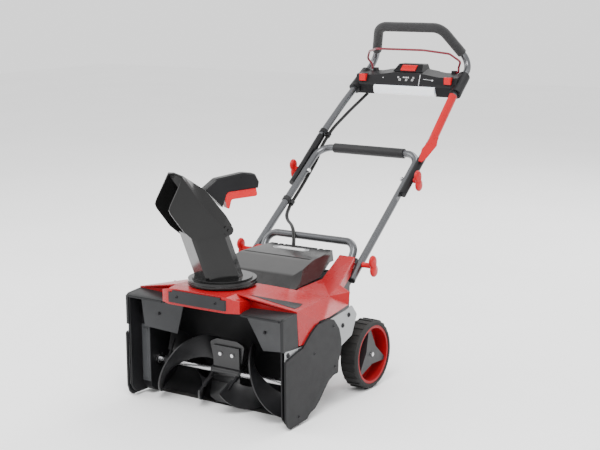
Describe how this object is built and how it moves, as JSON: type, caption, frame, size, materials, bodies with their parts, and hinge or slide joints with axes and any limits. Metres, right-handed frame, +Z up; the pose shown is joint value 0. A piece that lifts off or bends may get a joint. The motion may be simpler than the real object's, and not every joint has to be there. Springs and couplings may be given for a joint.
{
  "type": "snow blower",
  "caption": "Cordless walk-behind snow blower with a turning chute, tilting hood, rubber auger, transport wheels and a folding handle with console and bail.",
  "frame": {"origin": "on the ground under the middle of the machine's box", "axes": "+X to the right as seen from the front, +Y from the auger towards the handle, +Z up"},
  "size_m": [0.542, 1.275, 1.001],
  "materials": {
    "auger_housing": "fine texture",
    "front_shroud": "fine texture",
    "snow_guides": "satin",
    "side_plate_right": "galvanised",
    "side_cover_right": "satin",
    "side_plate_left": "galvanised",
    "side_cover_left": "satin",
    "scraper_bar": "matt",
    "top_cover": "satin gloss",
    "badge_plate": "satin",
    "chute_base_ring": "gloss",
    "battery_tray": "fine texture",
    "battery_packs": "fine texture",
    "control_board": "cast",
    "drive_motor": "satin",
    "belt_cover": "satin",
    "drive_belt": "matt",
    "auger_bearings": "satin",
    "rear_frame": "satin",
    "lower_frame_bar": "metallic grey",
    "wheel_axle": "zinc plated",
    "cover_fasteners": "blackened",
    "auger_shaft": "bright",
    "centre_paddle": "satin",
    "flights_right": "matt",
    "flights_left": "matt",
    "paddle_bolts": "bright",
    "auger_pulley": "matt",
    "motor_pulley": "satin",
    "tyre_right": "matt",
    "rim_right": "satin",
    "hub_right": "satin",
    "tyre_left": "matt",
    "rim_left": "satin",
    "hub_left": "satin",
    "chute_neck": "gloss",
    "deflector_hood": "gloss",
    "deflector_handle": "satin",
    "deflector_trigger": "satin",
    "battery_lid": "smoked satin",
    "middle_handle_tube": "metallic grey",
    "middle_handle_trim": "matt foam and plastic",
    "upper_handle_tube": "metallic grey",
    "upper_handle_sleeves": "satin",
    "foam_grip": "matt foam",
    "console_base": "satin",
    "console_top": "satin",
    "led_lens": "frosted white",
    "power_button": "satin",
    "side_button_right": "satin",
    "side_button_left": "satin",
    "bail": "dark red",
    "cleaning_tool": "satin",
    "knob_lower_right": "satin",
    "knob_lower_left": "satin",
    "knob_upper_right": "satin",
    "knob_upper_left": "satin",
    "lead_upper": "matt",
    "lead_middle": "matt",
    "lead_lower": "matt"
  },
  "bodies": {
    "chassis": {"auger_housing": "auger_housing", "front_shroud": "front_shroud", "snow_guides": "snow_guides", "side_plate_right": "side_plate_right", "side_plate_left": "side_plate_left", "side_cover_right": "side_cover_right", "side_cover_left": "side_cover_left", "scraper_bar": "scraper_bar", "top_cover": "top_cover", "badge_plate": "badge_plate", "chute_base_ring": "chute_base_ring", "battery_tray": "battery_tray", "battery_packs": "battery_packs", "control_board": "control_board", "drive_motor": "drive_motor", "belt_cover": "belt_cover", "drive_belt": "drive_belt", "auger_bearings": "auger_bearings", "rear_frame": "rear_frame", "lower_frame_bar": "lower_frame_bar", "wheel_axle": "wheel_axle", "cover_fasteners": "cover_fasteners", "lead_lower": "lead_lower"},
    "auger": {"auger_shaft": "auger_shaft", "centre_paddle": "centre_paddle", "flights_right": "flights_right", "flights_left": "flights_left", "paddle_bolts": "paddle_bolts", "auger_pulley": "auger_pulley"},
    "motor_rotor": {"motor_pulley": "motor_pulley"},
    "wheel_right": {"tyre_right": "tyre_right", "rim_right": "rim_right", "hub_right": "hub_right"},
    "wheel_left": {"tyre_left": "tyre_left", "rim_left": "rim_left", "hub_left": "hub_left"},
    "chute": {"chute_neck": "chute_neck"},
    "deflector": {"deflector_hood": "deflector_hood", "deflector_handle": "deflector_handle"},
    "trigger": {"deflector_trigger": "deflector_trigger"},
    "lid": {"battery_lid": "battery_lid"},
    "middle_handle": {"middle_handle_tube": "middle_handle_tube", "middle_handle_trim": "middle_handle_trim", "lead_middle": "lead_middle"},
    "upper_handle": {"upper_handle_tube": "upper_handle_tube", "upper_handle_sleeves": "upper_handle_sleeves", "foam_grip": "foam_grip", "console_base": "console_base", "console_top": "console_top", "led_lens": "led_lens", "lead_upper": "lead_upper"},
    "bail": {"bail": "bail"},
    "power_key": {"power_button": "power_button"},
    "side_key_right": {"side_button_right": "side_button_right"},
    "side_key_left": {"side_button_left": "side_button_left"},
    "tool": {"cleaning_tool": "cleaning_tool"},
    "lower_knob_right": {"knob_lower_right": "knob_lower_right"},
    "lower_knob_left": {"knob_lower_left": "knob_lower_left"},
    "upper_knob_right": {"knob_upper_right": "knob_upper_right"},
    "upper_knob_left": {"knob_upper_left": "knob_upper_left"}
  },
  "joints": [
    {"name": "auger_spin", "type": "hinge", "parent": "chassis", "child": "auger", "pos_m": [0, -0.47011, 0.098], "axis": [1, 0, 0], "continuous": true},
    {"name": "motor_spin", "type": "hinge", "parent": "chassis", "child": "motor_rotor", "pos_m": [0, -0.28611, 0.168], "axis": [1, 0, 0], "continuous": true},
    {"name": "wheel_right_spin", "type": "hinge", "parent": "chassis", "child": "wheel_right", "pos_m": [0.244, -0.12011, 0.0995], "axis": [1, 0, 0], "continuous": true},
    {"name": "wheel_left_spin", "type": "hinge", "parent": "chassis", "child": "wheel_left", "pos_m": [-0.244, -0.12011, 0.0995], "axis": [1, 0, 0], "continuous": true},
    {"name": "chute_rotate", "type": "hinge", "parent": "chassis", "child": "chute", "pos_m": [0, -0.46511, 0.354], "axis": [0, 0, 1], "range_deg": [-65, 125]},
    {"name": "deflector_tilt", "type": "hinge", "parent": "chute", "child": "deflector", "pos_m": [-0.001, -0.46684, 0.498], "axis": [0.866, -0.5, 0], "range_deg": [-12, 35]},
    {"name": "trigger_squeeze", "type": "slide", "parent": "deflector", "child": "trigger", "axis": [0, 0, 1], "range_m": [0, 0.004], "stiffness_N_per_m": 900, "springref_m": -0.002},
    {"name": "lid_open", "type": "hinge", "parent": "chassis", "child": "lid", "pos_m": [0, -0.07211, 0.366], "axis": [-1, 0, 0], "range_deg": [0, 65]},
    {"name": "lower_handle_fold", "type": "hinge", "parent": "chassis", "child": "middle_handle", "pos_m": [0, -0.06111, 0.34], "axis": [1, 0, 0], "range_deg": [0, 75], "deforming": ["lead_lower"]},
    {"name": "upper_handle_fold", "type": "hinge", "parent": "middle_handle", "child": "upper_handle", "pos_m": [0, 0.21389, 0.548], "axis": [-1, 0, 0], "range_deg": [-100, 0], "deforming": ["lead_middle"]},
    {"name": "bail_pull", "type": "hinge", "parent": "upper_handle", "child": "bail", "pos_m": [0, 0.59189, 0.841], "axis": [-1, 0, 0], "range_deg": [0, 22], "stiffness_Nm_per_rad": 0.8, "springref_deg": -28.65},
    {"name": "power_press", "type": "slide", "parent": "upper_handle", "child": "power_key", "axis": [0, 0.682, -0.7314], "range_m": [0, 0.003], "stiffness_N_per_m": 500, "springref_m": -0.002},
    {"name": "side_press_right", "type": "slide", "parent": "upper_handle", "child": "side_key_right", "axis": [0, 1, 0], "range_m": [0, 0.003], "stiffness_N_per_m": 400, "springref_m": -0.001},
    {"name": "side_press_left", "type": "slide", "parent": "upper_handle", "child": "side_key_left", "axis": [0, 1, 0], "range_m": [0, 0.003], "stiffness_N_per_m": 400, "springref_m": -0.001},
    {"name": "tool_pull", "type": "slide", "parent": "upper_handle", "child": "tool", "axis": [0.7403, -0.3735, 0.559], "range_m": [0, 0.06]},
    {"name": "lower_knob_right_turn", "type": "hinge", "parent": "chassis", "child": "lower_knob_right", "pos_m": [0.21, -0.06111, 0.34], "axis": [1, 0, 0], "continuous": true},
    {"name": "lower_knob_left_turn", "type": "hinge", "parent": "chassis", "child": "lower_knob_left", "pos_m": [-0.21, -0.06111, 0.34], "axis": [1, 0, 0], "continuous": true},
    {"name": "upper_knob_right_turn", "type": "hinge", "parent": "middle_handle", "child": "upper_knob_right", "pos_m": [0.21, 0.21389, 0.548], "axis": [1, 0, 0], "continuous": true},
    {"name": "upper_knob_left_turn", "type": "hinge", "parent": "middle_handle", "child": "upper_knob_left", "pos_m": [-0.21, 0.21389, 0.548], "axis": [1, 0, 0], "continuous": true}
  ],
  "couplings": [
    {"joint": "motor_spin", "follows": "auger_spin", "ratio": 2.5455}
  ]
}
